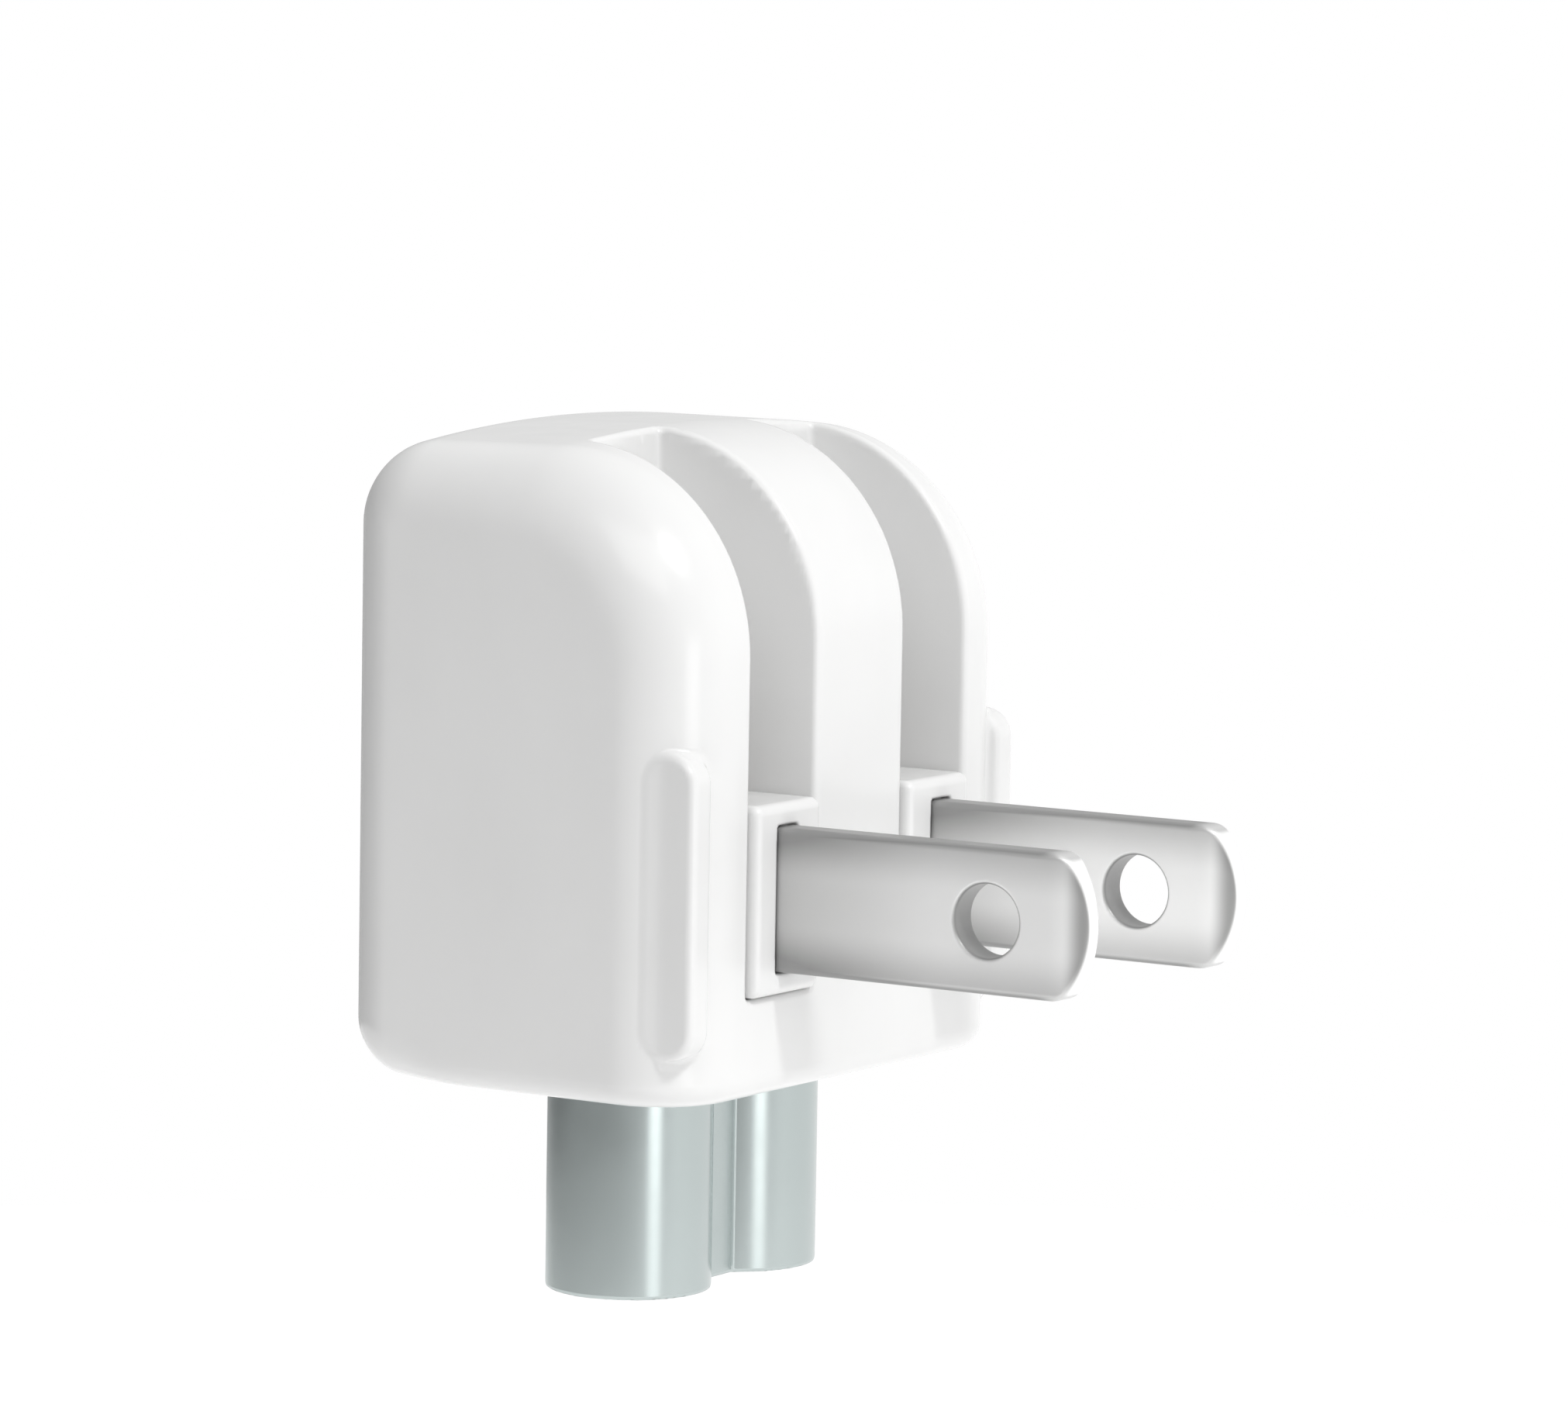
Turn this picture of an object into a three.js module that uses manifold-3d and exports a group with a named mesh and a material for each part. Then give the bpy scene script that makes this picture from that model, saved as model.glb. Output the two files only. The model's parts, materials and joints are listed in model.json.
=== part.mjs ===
// A folding two-blade mains plug head that slides onto a charger and feeds it through a figure-eight connector.
// Millimetres. +Z is up, the blades point along -Y and lie side by side along X.
// The origin is on the flat front face, midway between the blades at blade-centre height.
import * as THREE from "three";
import { mergeVertices } from "three/addons/utils/BufferGeometryUtils.js";
import Module from "manifold-3d";

const wasm = await Module();
wasm.setup();

// ---- Driving dimensions -------------------------------------------------------------------------

const GAP = 0.3; // between pieces that touch on the real object
const RUNNING_GAP = 0.25; // beside and behind the turning blade carrier
const OVERCUT = 1; // how far a cutting solid runs past the face it opens
const LEAST_ROUND = 0.2; // of a corner that shrinking a form would take away
const ARC_STEPS = 7; // straight steps in each rounded corner

const BODY = { width: 27.2, depth: 18.6, top: 20, bottom: -8.7, crown: 1 };
const ROUND = {
  frontEdge: 4,
  backEdge: 2.8,
  frontTop: 9,
  backTop: 3.5,
  backBottom: 2.6,
  frontBottom: 1,
  sideTop: 3.4,
  sideBottom: 1.2,
};
const WALL = 1.7;
const RIB_WALL = 1; // the front wall between the slots, where the cam turns behind it
const SLOT = { centre: 6.2, width: 5.2, depth: 8.5, wall: 1.2 };
const GRIP = { outer: 13.2, thickness: 1.5, depth: 2.6, top: 6.7, bottom: -6.5 };

const BLADE = { pitch: 12.7, width: 6.35, thickness: 1.52, reach: 15.9 };
const BLADE_TIP = { bulge: 1, bevel: 1, thickness: 0.8 };
const BLADE_HOLE = { radius: 1.59, fromTip: 5 };
// The tang is the part of a blade inside the carrier. It is pressed thinner from just in front of the carrier.
const TANG = { width: 5, depth: 5, thickness: 1.4, lead: 0.1 };

const CARRIER = { proud: 0.4, halfHeight: 4.2, cornerRadius: 0.5, shaftRadius: 1.8, stubRadius: 1.4 };
const CAM = { half: 2, round: 0.8 };
const PIVOT_Y = CARRIER.halfHeight - CARRIER.proud;
const HEAD_WIDTH = SLOT.width - 2 * RUNNING_GAP;
const STUB_END = 10.4;
const HEEL = { width: 3, halfHeight: 2.2, front: 5.3, back: 7.8, round: 1 };

const CONNECTOR = { y: 9, pitch: 8.6, lobe: 3.7, waist: 2, end: -18.4, flangeOverhang: 0.9, flangeTop: -5.7 };
const SOCKET = { outer: 1.6, bore: 1.25, entry: 1.45, lip: 1.2, depth: 10 };

const FRAME = { halfWidth: 9.9, front: 8.85, back: 11, top: 4, round: 0.6 };
const TONGUE = { halfWidth: 2.1, top: 9.6, round: 1 };
const SPRING = { x: 6.3, width: 3, thickness: 0.3, bottom: -3.4, backBottom: -1 };
const DETENT = { halfWidth: 1.9, halfHeight: 3.3, flatHalf: 2.2 };
const STRIP = { x: 5.4, width: 3.6, thickness: 0.4, top: 2.4, footFront: 7.3 };
const RIVET = { x: 6, z: 1.2, shank: 0.6, hole: 0.85, head: 1.2, headThickness: 0.4 };
const SCREW = { z: 7.2, tip: 3.3, shank: 0.8, hole: 1.1, head: 1.6, headThickness: 1, bossRadius: 2 };
const BUSH = { front: 2.1, back: 6, halfHeight: 2.4, round: 0.6 };

const COVER = { halfWidth: 11.6, top: 16.6, bottom: -6.2, corner: 3, thickness: 2.4 };
const STUD_SLOT = { neckHalf: 2.2, lip: 1.2, headHalf: 3.7, depth: 3, wall: 1, top: 5 };
const STUD_BOSS_FRONT = BODY.depth - STUD_SLOT.lip - STUD_SLOT.depth - STUD_SLOT.wall;

// ---- Materials ----------------------------------------------------------------------------------

const finish = (color, roughness, metalness) => new THREE.MeshStandardMaterial({ color, roughness, metalness });
const whitePlastic = finish(0xf4f4f2, 0.25, 0);
const greyPlastic = finish(0x9aa8a6, 0.45, 0);
const framePlastic = finish(0xd8d4c4, 0.5, 0);
const bushPlastic = finish(0xece8dc, 0.4, 0);
const nickel = finish(0xc4c4be, 0.35, 1);
const brass = finish(0xc9a552, 0.35, 1);
const bronze = finish(0xb5804a, 0.35, 1);
const steel = finish(0xa8acb0, 0.35, 1);

// ---- Solids -------------------------------------------------------------------------------------

function solidOf(geometry) {
  const bare = geometry.clone();
  bare.deleteAttribute("normal");
  bare.deleteAttribute("uv");
  const merged = mergeVertices(bare, 1e-4);
  const vertProperties = merged.attributes.position.array;
  const triVerts = new Uint32Array(merged.index.array);
  return new wasm.Manifold(new wasm.Mesh({ numProp: 3, vertProperties, triVerts }));
}

const TO_X = new THREE.Matrix4().makeBasis(
  new THREE.Vector3(0, 1, 0),
  new THREE.Vector3(0, 0, 1),
  new THREE.Vector3(1, 0, 0),
);
const TO_Y = new THREE.Matrix4().makeBasis(
  new THREE.Vector3(1, 0, 0),
  new THREE.Vector3(0, 0, 1),
  new THREE.Vector3(0, -1, 0),
);

function extruded(shape, depth) {
  return new THREE.ExtrudeGeometry(shape, { depth, bevelEnabled: false, curveSegments: ARC_STEPS });
}

// An outline drawn in X and Y, from z0 up to z1.
function alongZ(shape, z0, z1) {
  return solidOf(extruded(shape, z1 - z0).translate(0, 0, z0));
}

// An outline drawn in Y and Z, from x0 to x1.
function alongX(shape, x0, x1) {
  return solidOf(extruded(shape, x1 - x0).applyMatrix4(TO_X).translate(x0, 0, 0));
}

// An outline drawn in X and Z, from y0 to y1.
function alongY(shape, y0, y1) {
  return solidOf(extruded(shape, y1 - y0).applyMatrix4(TO_Y).translate(0, y1, 0));
}

// A rectangle whose corners are rounded in the order low-low, high-low, high-high, low-high.
function rounded(u0, u1, v0, v1, radii) {
  const [a, b, c, d] = Array.isArray(radii) ? radii : [radii, radii, radii, radii];
  const shape = new THREE.Shape();
  shape.moveTo(u0 + a, v0);
  shape.lineTo(u1 - b, v0);
  if (b) shape.absarc(u1 - b, v0 + b, b, -Math.PI / 2, 0);
  shape.lineTo(u1, v1 - c);
  if (c) shape.absarc(u1 - c, v1 - c, c, 0, Math.PI / 2);
  shape.lineTo(u0 + d, v1);
  if (d) shape.absarc(u0 + d, v1 - d, d, Math.PI / 2, Math.PI);
  shape.lineTo(u0, v0 + a);
  if (a) shape.absarc(u0 + a, v0 + a, a, Math.PI, 1.5 * Math.PI);
  return shape;
}

function polygon(points) {
  return new THREE.Shape(points.map(([u, v]) => new THREE.Vector2(u, v)));
}

function disc(u, v, radius) {
  const shape = new THREE.Shape();
  shape.absarc(u, v, radius, 0, 2 * Math.PI);
  return shape;
}

function box(x0, x1, y0, y1, z0, z1) {
  return alongZ(rounded(x0, x1, y0, y1, 0), z0, z1);
}

const joined = (...solids) => solids.reduce((a, b) => a.add(b));
const cut = (solid, ...cutters) => cutters.reduce((a, b) => a.subtract(b), solid);

// The low and high X of a piece centred at x on the side given by sign, which is -1 for left and 1 for right.
function span(sign, x, width) {
  return [sign * x - width / 2, sign * x + width / 2];
}

const root = new THREE.Group();
const housingGroup = new THREE.Group();
const bladesGroup = new THREE.Group();
root.add(housingGroup, bladesGroup);

function place(group, name, solid, material) {
  const mesh = solid.getMesh();
  const geometry = new THREE.BufferGeometry();
  geometry.setAttribute("position", new THREE.BufferAttribute(new Float32Array(mesh.vertProperties), 3));
  geometry.setIndex(new THREE.BufferAttribute(new Uint32Array(mesh.triVerts), 1));
  geometry.computeVertexNormals();
  const piece = new THREE.Mesh(geometry, material);
  piece.name = name;
  group.add(piece);
}

const SIDES = [
  ["left", -1],
  ["right", 1],
];

// ---- Housing ------------------------------------------------------------------------------------

// The outline seen from in front, whose top is a shallow arc that runs smoothly into the top corners.
function domed(half, low, high, bottomRound, topRound) {
  const dome = (half ** 2 + BODY.crown ** 2) / (2 * BODY.crown);
  const across = half - topRound;
  const lean = Math.asin(across / (dome - topRound));
  const cornerHeight = high - dome + (dome - topRound) * Math.cos(lean);
  const shape = new THREE.Shape();
  shape.absarc(bottomRound - half, low + bottomRound, bottomRound, Math.PI, 1.5 * Math.PI);
  shape.absarc(half - bottomRound, low + bottomRound, bottomRound, -Math.PI / 2, 0);
  shape.absarc(across, cornerHeight, topRound, 0, Math.PI / 2 - lean);
  shape.absarc(0, high - dome, dome, Math.PI / 2 - lean, Math.PI / 2 + lean);
  shape.absarc(-across, cornerHeight, topRound, Math.PI / 2 + lean, Math.PI);
  return shape;
}

// The rounded body, or the same form shrunk by inset on every side.
function bodyForm(inset) {
  const half = BODY.width / 2 - inset;
  const front = inset;
  const back = BODY.depth - inset;
  const low = BODY.bottom + inset;
  const high = BODY.top - inset;
  const r = (radius) => Math.max(radius - inset, LEAST_ROUND);
  const plan = rounded(-half, half, front, back, [
    r(ROUND.frontEdge),
    r(ROUND.frontEdge),
    r(ROUND.backEdge),
    r(ROUND.backEdge),
  ]);
  const side = rounded(front, back, low, high, [
    r(ROUND.frontBottom),
    r(ROUND.backBottom),
    r(ROUND.backTop),
    r(ROUND.frontTop),
  ]);
  const face = domed(half, low, high, r(ROUND.sideBottom), r(ROUND.sideTop));
  return alongZ(plan, low, high)
    .intersect(alongX(side, -half, half))
    .intersect(alongY(face, front, back));
}

function coverOutline(shrink) {
  return rounded(
    -COVER.halfWidth + shrink,
    COVER.halfWidth - shrink,
    COVER.bottom + shrink,
    COVER.top - shrink,
    COVER.corner - shrink,
  );
}

// The channel that takes the charger's stud: a narrow neck at the back face and a wide part behind it.
function studSlot() {
  const low = BODY.bottom - OVERCUT;
  const neckFront = BODY.depth - STUD_SLOT.lip;
  const channel = (half, y0, y1) => {
    const shape = rounded(-half, half, low, STUD_SLOT.top + half, [0, 0, half, half]);
    return alongY(shape, y0, y1);
  };
  return joined(
    channel(STUD_SLOT.neckHalf, neckFront - OVERCUT, BODY.depth + OVERCUT),
    channel(STUD_SLOT.headHalf, neckFront - STUD_SLOT.depth, neckFront),
  );
}

function figureEight(grow) {
  const lobe = CONNECTOR.lobe + grow;
  const half = CONNECTOR.pitch / 2;
  const meeting = Math.asin((CONNECTOR.waist + grow) / lobe); // where the flat waist runs into a lobe
  const shape = new THREE.Shape();
  shape.absarc(half, CONNECTOR.y, lobe, meeting - Math.PI, Math.PI - meeting);
  shape.absarc(-half, CONNECTOR.y, lobe, meeting, -meeting);
  return shape;
}

function grip(sign) {
  const [x0, x1] = span(sign, GRIP.outer - GRIP.thickness / 2, GRIP.thickness);
  return alongX(rounded(0, GRIP.depth, GRIP.bottom, GRIP.top, GRIP.depth / 2), x0, x1);
}

function frontHousing() {
  const outside = joined(bodyForm(0), grip(-1), grip(1));
  const coverSeat = BODY.depth - COVER.thickness - GAP;
  const inside = bodyForm(WALL).intersect(
    box(-BODY.width, BODY.width, 0, coverSeat, BODY.bottom, BODY.top),
  );
  const opening = alongY(coverOutline(0), coverSeat - OVERCUT, BODY.depth + OVERCUT);
  const behindSlot = SLOT.depth + SLOT.wall;
  let shell = cut(outside, inside, opening);

  // Each slot has its own walls inside the shell. Below the carrier top its end is open for the contact frame.
  const endWallBottom = CARRIER.halfHeight + 2 * GAP + SPRING.thickness;
  for (const sign of [-1, 1]) {
    const [x0, x1] = span(sign, SLOT.centre, SLOT.width + 2 * SLOT.wall);
    const walls = joined(
      box(x0, x1, 0, behindSlot, endWallBottom, BODY.top),
      box(x0, x1, 0, FRAME.front - GAP, -CARRIER.halfHeight, endWallBottom),
    );
    shell = shell.add(walls.intersect(bodyForm(WALL / 2)));
  }
  const innerWall = SLOT.centre - SLOT.width / 2 - SLOT.wall;
  shell = cut(shell, box(-innerWall, innerWall, RIB_WALL, SLOT.depth, -CARRIER.halfHeight, CARRIER.halfHeight));
  shell = shell.add(alongY(disc(0, SCREW.z, SCREW.bossRadius), WALL / 2, FRAME.front - GAP));

  const floor = -CARRIER.halfHeight - RUNNING_GAP;
  for (const sign of [-1, 1]) {
    const [s0, s1] = span(sign, SLOT.centre, SLOT.width);
    const slot = joined(
      box(s0, s1, -OVERCUT, SLOT.depth, endWallBottom, BODY.top + OVERCUT),
      box(s0, s1, -OVERCUT, behindSlot, floor, endWallBottom),
    );
    const inner = span(sign, SLOT.centre - SLOT.width / 2 - SLOT.wall / 2, SLOT.wall + 2 * GAP);
    const outer = span(sign, SLOT.centre + SLOT.width / 2 + SLOT.wall / 2, SLOT.wall + 2 * GAP);
    const shaftHalf = CARRIER.shaftRadius + GAP;
    const bushHalf = BUSH.halfHeight + GAP;
    shell = cut(
      shell,
      slot,
      box(inner[0], inner[1], PIVOT_Y - shaftHalf, behindSlot, -shaftHalf, shaftHalf),
      box(outer[0], outer[1], BUSH.front - GAP, behindSlot, -bushHalf, bushHalf),
    );
  }
  const screwHole = alongY(disc(0, SCREW.z, SCREW.hole), SCREW.tip - GAP, FRAME.front);
  const connectorHole = alongZ(figureEight(GAP), BODY.bottom - OVERCUT, BODY.bottom + WALL + OVERCUT);
  return cut(shell, screwHole, connectorHole, studSlot());
}

function rearCover() {
  const front = BODY.depth - COVER.thickness;
  const plate = alongY(coverOutline(GAP), front, BODY.depth + OVERCUT).intersect(bodyForm(0));
  const half = STUD_SLOT.headHalf + STUD_SLOT.wall;
  const bossShape = rounded(-half, half, COVER.bottom + GAP, STUD_SLOT.top + half, [0, 0, half, half]);
  const boss = alongY(bossShape, STUD_BOSS_FRONT, front + OVERCUT);
  return cut(joined(plate, boss), studSlot());
}

function connectorBody() {
  const floorTop = BODY.bottom + WALL;
  const stem = alongZ(figureEight(0), CONNECTOR.end, floorTop + GAP + OVERCUT / 2);
  const flangeBack = STUD_BOSS_FRONT - GAP;
  const flange = alongZ(figureEight(CONNECTOR.flangeOverhang), floorTop + GAP, CONNECTOR.flangeTop).intersect(
    box(-BODY.width, BODY.width, 0, flangeBack, BODY.bottom, BODY.top),
  );
  let body = joined(stem, flange);
  for (const sign of [-1, 1]) {
    const x = (sign * CONNECTOR.pitch) / 2;
    const bore = alongZ(
      disc(x, CONNECTOR.y, SOCKET.outer + GAP),
      CONNECTOR.end + SOCKET.lip,
      CONNECTOR.flangeTop + OVERCUT,
    );
    const entry = alongZ(disc(x, CONNECTOR.y, SOCKET.entry), CONNECTOR.end - OVERCUT, CONNECTOR.end + 2 * SOCKET.lip);
    body = cut(body, bore, entry);
  }
  return body;
}

function socketContact(sign) {
  const x = (sign * CONNECTOR.pitch) / 2;
  const low = CONNECTOR.end + SOCKET.lip + GAP;
  const sleeve = alongZ(disc(x, CONNECTOR.y, SOCKET.outer), low, CONNECTOR.flangeTop);
  const bore = alongZ(disc(x, CONNECTOR.y, SOCKET.bore), low - OVERCUT, low + SOCKET.depth);
  return cut(sleeve, bore);
}

// ---- Contacts and their frame -------------------------------------------------------------------

function rivetHole(sign, y0, y1) {
  return alongY(disc(sign * RIVET.x, RIVET.z, RIVET.hole), y0, y1);
}

function contactFrame() {
  const low = -CARRIER.halfHeight + GAP;
  const plateShape = rounded(-FRAME.halfWidth, FRAME.halfWidth, low, FRAME.top, FRAME.round);
  const tongueRounds = [0, 0, TONGUE.round, TONGUE.round];
  const tongueShape = rounded(-TONGUE.halfWidth, TONGUE.halfWidth, 0, TONGUE.top, tongueRounds);
  const plate = alongY(plateShape, FRAME.front, FRAME.back);
  const tongue = alongY(tongueShape, FRAME.front, FRAME.back);
  let frame = joined(plate, tongue);
  // An arm on each side closes the bush into its seat from behind.
  const armHalf = BUSH.halfHeight - GAP;
  const armX = SLOT.centre + SLOT.width / 2 + SLOT.wall / 2;
  for (const sign of [-1, 1]) {
    const [x0, x1] = span(sign, armX, SLOT.wall - GAP);
    frame = frame.add(box(x0, x1, BUSH.back + GAP, FRAME.front + OVERCUT, -armHalf, armHalf));
    frame = cut(frame, rivetHole(sign, FRAME.front + OVERCUT, FRAME.back + OVERCUT));
  }
  return cut(frame, alongY(disc(0, SCREW.z, SCREW.hole), FRAME.front - OVERCUT, FRAME.back + OVERCUT));
}

// A leaf in front of the frame bears on the blade's heel. It bends over the frame's top and comes down behind it.
function contactSpring(sign) {
  const t = SPRING.thickness;
  const front = FRAME.front - GAP;
  const back = FRAME.back + GAP;
  const top = FRAME.top + GAP;
  const outline = polygon([
    [front - t, SPRING.bottom],
    [front, SPRING.bottom],
    [front, top],
    [back, top],
    [back, SPRING.backBottom],
    [back + t, SPRING.backBottom],
    [back + t, top + t],
    [front - t, top + t],
  ]);
  const [x0, x1] = span(sign, SPRING.x, SPRING.width);
  return cut(alongX(outline, x0, x1), rivetHole(sign, back - OVERCUT, back + t + OVERCUT));
}

const STRIP_FRONT = FRAME.back + 2 * GAP + SPRING.thickness;

function busStrip(sign) {
  const t = STRIP.thickness;
  const foot = CONNECTOR.flangeTop + GAP;
  const outline = polygon([
    [STRIP.footFront, foot],
    [STRIP_FRONT + t, foot],
    [STRIP_FRONT + t, STRIP.top],
    [STRIP_FRONT, STRIP.top],
    [STRIP_FRONT, foot + t],
    [STRIP.footFront, foot + t],
  ]);
  const [x0, x1] = span(sign, STRIP.x, STRIP.width);
  return cut(alongX(outline, x0, x1), rivetHole(sign, STRIP_FRONT - OVERCUT, STRIP_FRONT + OVERCUT));
}

function stripRivet(sign) {
  const headFront = STRIP_FRONT + STRIP.thickness + GAP;
  return joined(
    alongY(disc(sign * RIVET.x, RIVET.z, RIVET.shank), FRAME.front + OVERCUT + GAP, headFront + GAP),
    alongY(disc(sign * RIVET.x, RIVET.z, RIVET.head), headFront, headFront + RIVET.headThickness),
  );
}

function frameScrew() {
  const headFront = FRAME.back + GAP;
  return joined(
    alongY(disc(0, SCREW.z, SCREW.shank), SCREW.tip, headFront + GAP),
    alongY(disc(0, SCREW.z, SCREW.head), headFront, headFront + SCREW.headThickness),
  );
}

function axleBush(sign) {
  const wallIn = SLOT.centre + SLOT.width / 2;
  const wallOut = wallIn + SLOT.wall;
  const [x0, x1] = span(sign, (wallIn + wallOut) / 2 + GAP, SLOT.wall + GAP);
  const block = alongX(rounded(BUSH.front, BUSH.back, -BUSH.halfHeight, BUSH.halfHeight, BUSH.round), x0, x1);
  return cut(block, alongX(disc(PIVOT_Y, 0, CARRIER.stubRadius + RUNNING_GAP), x0 - OVERCUT, x1 + OVERCUT));
}

// A shallow leaf whose middle faces the cam and whose two ends turn back to the frame.
function detentSpring() {
  const t = SPRING.thickness;
  const camReach = (CAM.half - CAM.round) * Math.SQRT2 + CAM.round;
  const leaf = PIVOT_Y + camReach + RUNNING_GAP;
  const foot = FRAME.front - GAP;
  const end = DETENT.halfHeight;
  const flat = DETENT.flatHalf;
  const outline = polygon([
    [foot, -end],
    [foot, -end + t],
    [leaf + t, -flat],
    [leaf + t, flat],
    [foot, end - t],
    [foot, end],
    [leaf, flat + t],
    [leaf, -flat - t],
  ]);
  return alongX(outline, -DETENT.halfWidth, DETENT.halfWidth);
}

// ---- Blades and their carrier -------------------------------------------------------------------

const BLADE_X = BLADE.pitch / 2;

function blade(sign) {
  const tip = -BLADE.reach;
  const half = BLADE.width / 2;
  const shoulder = PIVOT_Y - CARRIER.halfHeight + GAP;
  const tipRadius = (half ** 2 + BLADE_TIP.bulge ** 2) / (2 * BLADE_TIP.bulge);
  const tipAngle = Math.asin(half / tipRadius);
  const side = new THREE.Shape();
  side.moveTo(shoulder, half);
  side.absarc(tip + tipRadius, 0, tipRadius, Math.PI - tipAngle, Math.PI + tipAngle);
  side.lineTo(shoulder, -half);
  side.lineTo(shoulder, -TANG.width / 2);
  side.lineTo(TANG.depth, -TANG.width / 2);
  side.lineTo(TANG.depth, TANG.width / 2);
  side.lineTo(shoulder, TANG.width / 2);
  const x = sign * BLADE_X;
  const thick = BLADE.thickness / 2;
  const thin = BLADE_TIP.thickness / 2;
  const pressed = TANG.thickness / 2;
  const root = PIVOT_Y - CARRIER.halfHeight - TANG.lead;
  const plan = polygon([
    [x - pressed, TANG.depth + OVERCUT],
    [x - pressed, root],
    [x - thick, root],
    [x - thick, tip + BLADE_TIP.bevel],
    [x - thin, tip],
    [x + thin, tip],
    [x + thick, tip + BLADE_TIP.bevel],
    [x + thick, root],
    [x + pressed, root],
    [x + pressed, TANG.depth + OVERCUT],
  ]);
  const hole = alongX(disc(tip + BLADE_HOLE.fromTip, 0, BLADE_HOLE.radius), x - OVERCUT, x + OVERCUT);
  const flat = alongX(side, x - thick, x + thick);
  return cut(flat.intersect(alongZ(plan, -half - OVERCUT, half + OVERCUT)), hole);
}

function heelContact(sign) {
  const [x0, x1] = span(sign, BLADE_X, HEEL.width);
  const rounds = [0, HEEL.round, HEEL.round, 0];
  return alongX(rounded(HEEL.front, HEEL.back, -HEEL.halfHeight, HEEL.halfHeight, rounds), x0, x1);
}

function bladeCarrier() {
  const r = CARRIER.halfHeight;
  const c = CARRIER.cornerRadius;
  const front = -CARRIER.proud;
  const head = new THREE.Shape();
  head.absarc(PIVOT_Y, 0, r, -Math.PI / 2, Math.PI / 2);
  head.absarc(front + c, r - c, c, Math.PI / 2, Math.PI);
  head.absarc(front + c, c - r, c, Math.PI, 1.5 * Math.PI);
  const cam = rounded(PIVOT_Y - CAM.half, PIVOT_Y + CAM.half, -CAM.half, CAM.half, CAM.round);
  const innerWall = SLOT.centre - SLOT.width / 2 - SLOT.wall;
  const camEnd = innerWall - RUNNING_GAP;
  let carrier = joined(
    alongX(disc(PIVOT_Y, 0, CARRIER.shaftRadius), -SLOT.centre, SLOT.centre),
    alongX(cam, -camEnd, camEnd),
    alongX(disc(PIVOT_Y, 0, CARRIER.stubRadius), -STUB_END, -SLOT.centre),
    alongX(disc(PIVOT_Y, 0, CARRIER.stubRadius), SLOT.centre, STUB_END),
  );
  for (const sign of [-1, 1]) {
    const [h0, h1] = span(sign, SLOT.centre, HEAD_WIDTH);
    const [t0, t1] = span(sign, BLADE_X, BLADE.thickness + 2 * GAP);
    const [k0, k1] = span(sign, BLADE_X, HEEL.width + 2 * GAP);
    const rootHalf = BLADE.width / 2 + GAP;
    const tangHalf = TANG.width / 2 + GAP;
    const heelHalf = HEEL.halfHeight + GAP;
    carrier = cut(
      carrier.add(alongX(head, h0, h1)),
      box(t0, t1, front - OVERCUT, front + 2 * GAP, -rootHalf, rootHalf),
      box(t0, t1, front, TANG.depth + GAP, -tangHalf, tangHalf),
      box(k0, k1, HEEL.front - GAP, PIVOT_Y + r + OVERCUT, -heelHalf, heelHalf),
    );
  }
  return carrier;
}

// ---- Assembly -----------------------------------------------------------------------------------

place(housingGroup, "front_housing", frontHousing(), whitePlastic);
place(housingGroup, "rear_cover", rearCover(), whitePlastic);
place(housingGroup, "connector_body", connectorBody(), greyPlastic);
place(housingGroup, "contact_frame", contactFrame(), framePlastic);
place(housingGroup, "frame_screw", frameScrew(), steel);
place(housingGroup, "detent_spring", detentSpring(), steel);
place(bladesGroup, "blade_carrier", bladeCarrier(), whitePlastic);
for (const [side, sign] of SIDES) {
  place(housingGroup, `socket_contact_${side}`, socketContact(sign), brass);
  place(housingGroup, `bus_strip_${side}`, busStrip(sign), brass);
  place(housingGroup, `contact_spring_${side}`, contactSpring(sign), bronze);
  place(housingGroup, `strip_rivet_${side}`, stripRivet(sign), brass);
  place(housingGroup, `axle_bush_${side}`, axleBush(sign), bushPlastic);
  place(bladesGroup, `blade_${side}`, blade(sign), nickel);
  place(bladesGroup, `heel_contact_${side}`, heelContact(sign), brass);
}

export default root;
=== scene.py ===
# The looks of a folding two-blade mains plug head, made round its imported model.
# Shapes are drawn in millimetres as fields of signed distance, negative inside a piece, and meshed on a grid.
# The frame is the part's own: +Z up, blades along -Y and side by side along X.
import json
import math

import bpy
import numpy as np
from mathutils import Matrix, Vector


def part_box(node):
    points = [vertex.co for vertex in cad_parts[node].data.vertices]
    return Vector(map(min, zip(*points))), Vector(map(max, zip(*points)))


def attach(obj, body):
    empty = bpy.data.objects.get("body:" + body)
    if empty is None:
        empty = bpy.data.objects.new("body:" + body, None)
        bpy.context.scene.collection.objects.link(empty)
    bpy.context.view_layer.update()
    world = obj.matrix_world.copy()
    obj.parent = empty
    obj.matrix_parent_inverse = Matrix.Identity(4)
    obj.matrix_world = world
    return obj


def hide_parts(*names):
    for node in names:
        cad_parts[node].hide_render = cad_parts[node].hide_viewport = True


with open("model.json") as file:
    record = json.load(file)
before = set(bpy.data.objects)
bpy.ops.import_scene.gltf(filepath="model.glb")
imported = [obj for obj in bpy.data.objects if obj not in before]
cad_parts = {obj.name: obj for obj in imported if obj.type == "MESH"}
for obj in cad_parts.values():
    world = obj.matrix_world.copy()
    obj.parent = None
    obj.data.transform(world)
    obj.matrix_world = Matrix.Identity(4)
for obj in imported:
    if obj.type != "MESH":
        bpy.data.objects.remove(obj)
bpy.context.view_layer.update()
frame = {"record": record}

MM = 1000.0  # millimetres in one metre
MICROMETRE = 1e-6  # in metres
SIDES = (("left", -1), ("right", 1))


def corners(node):
    """The lowest and highest corner of a CAD node in millimetres."""
    low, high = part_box(node)
    return np.array(low) * MM, np.array(high) * MM


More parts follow.
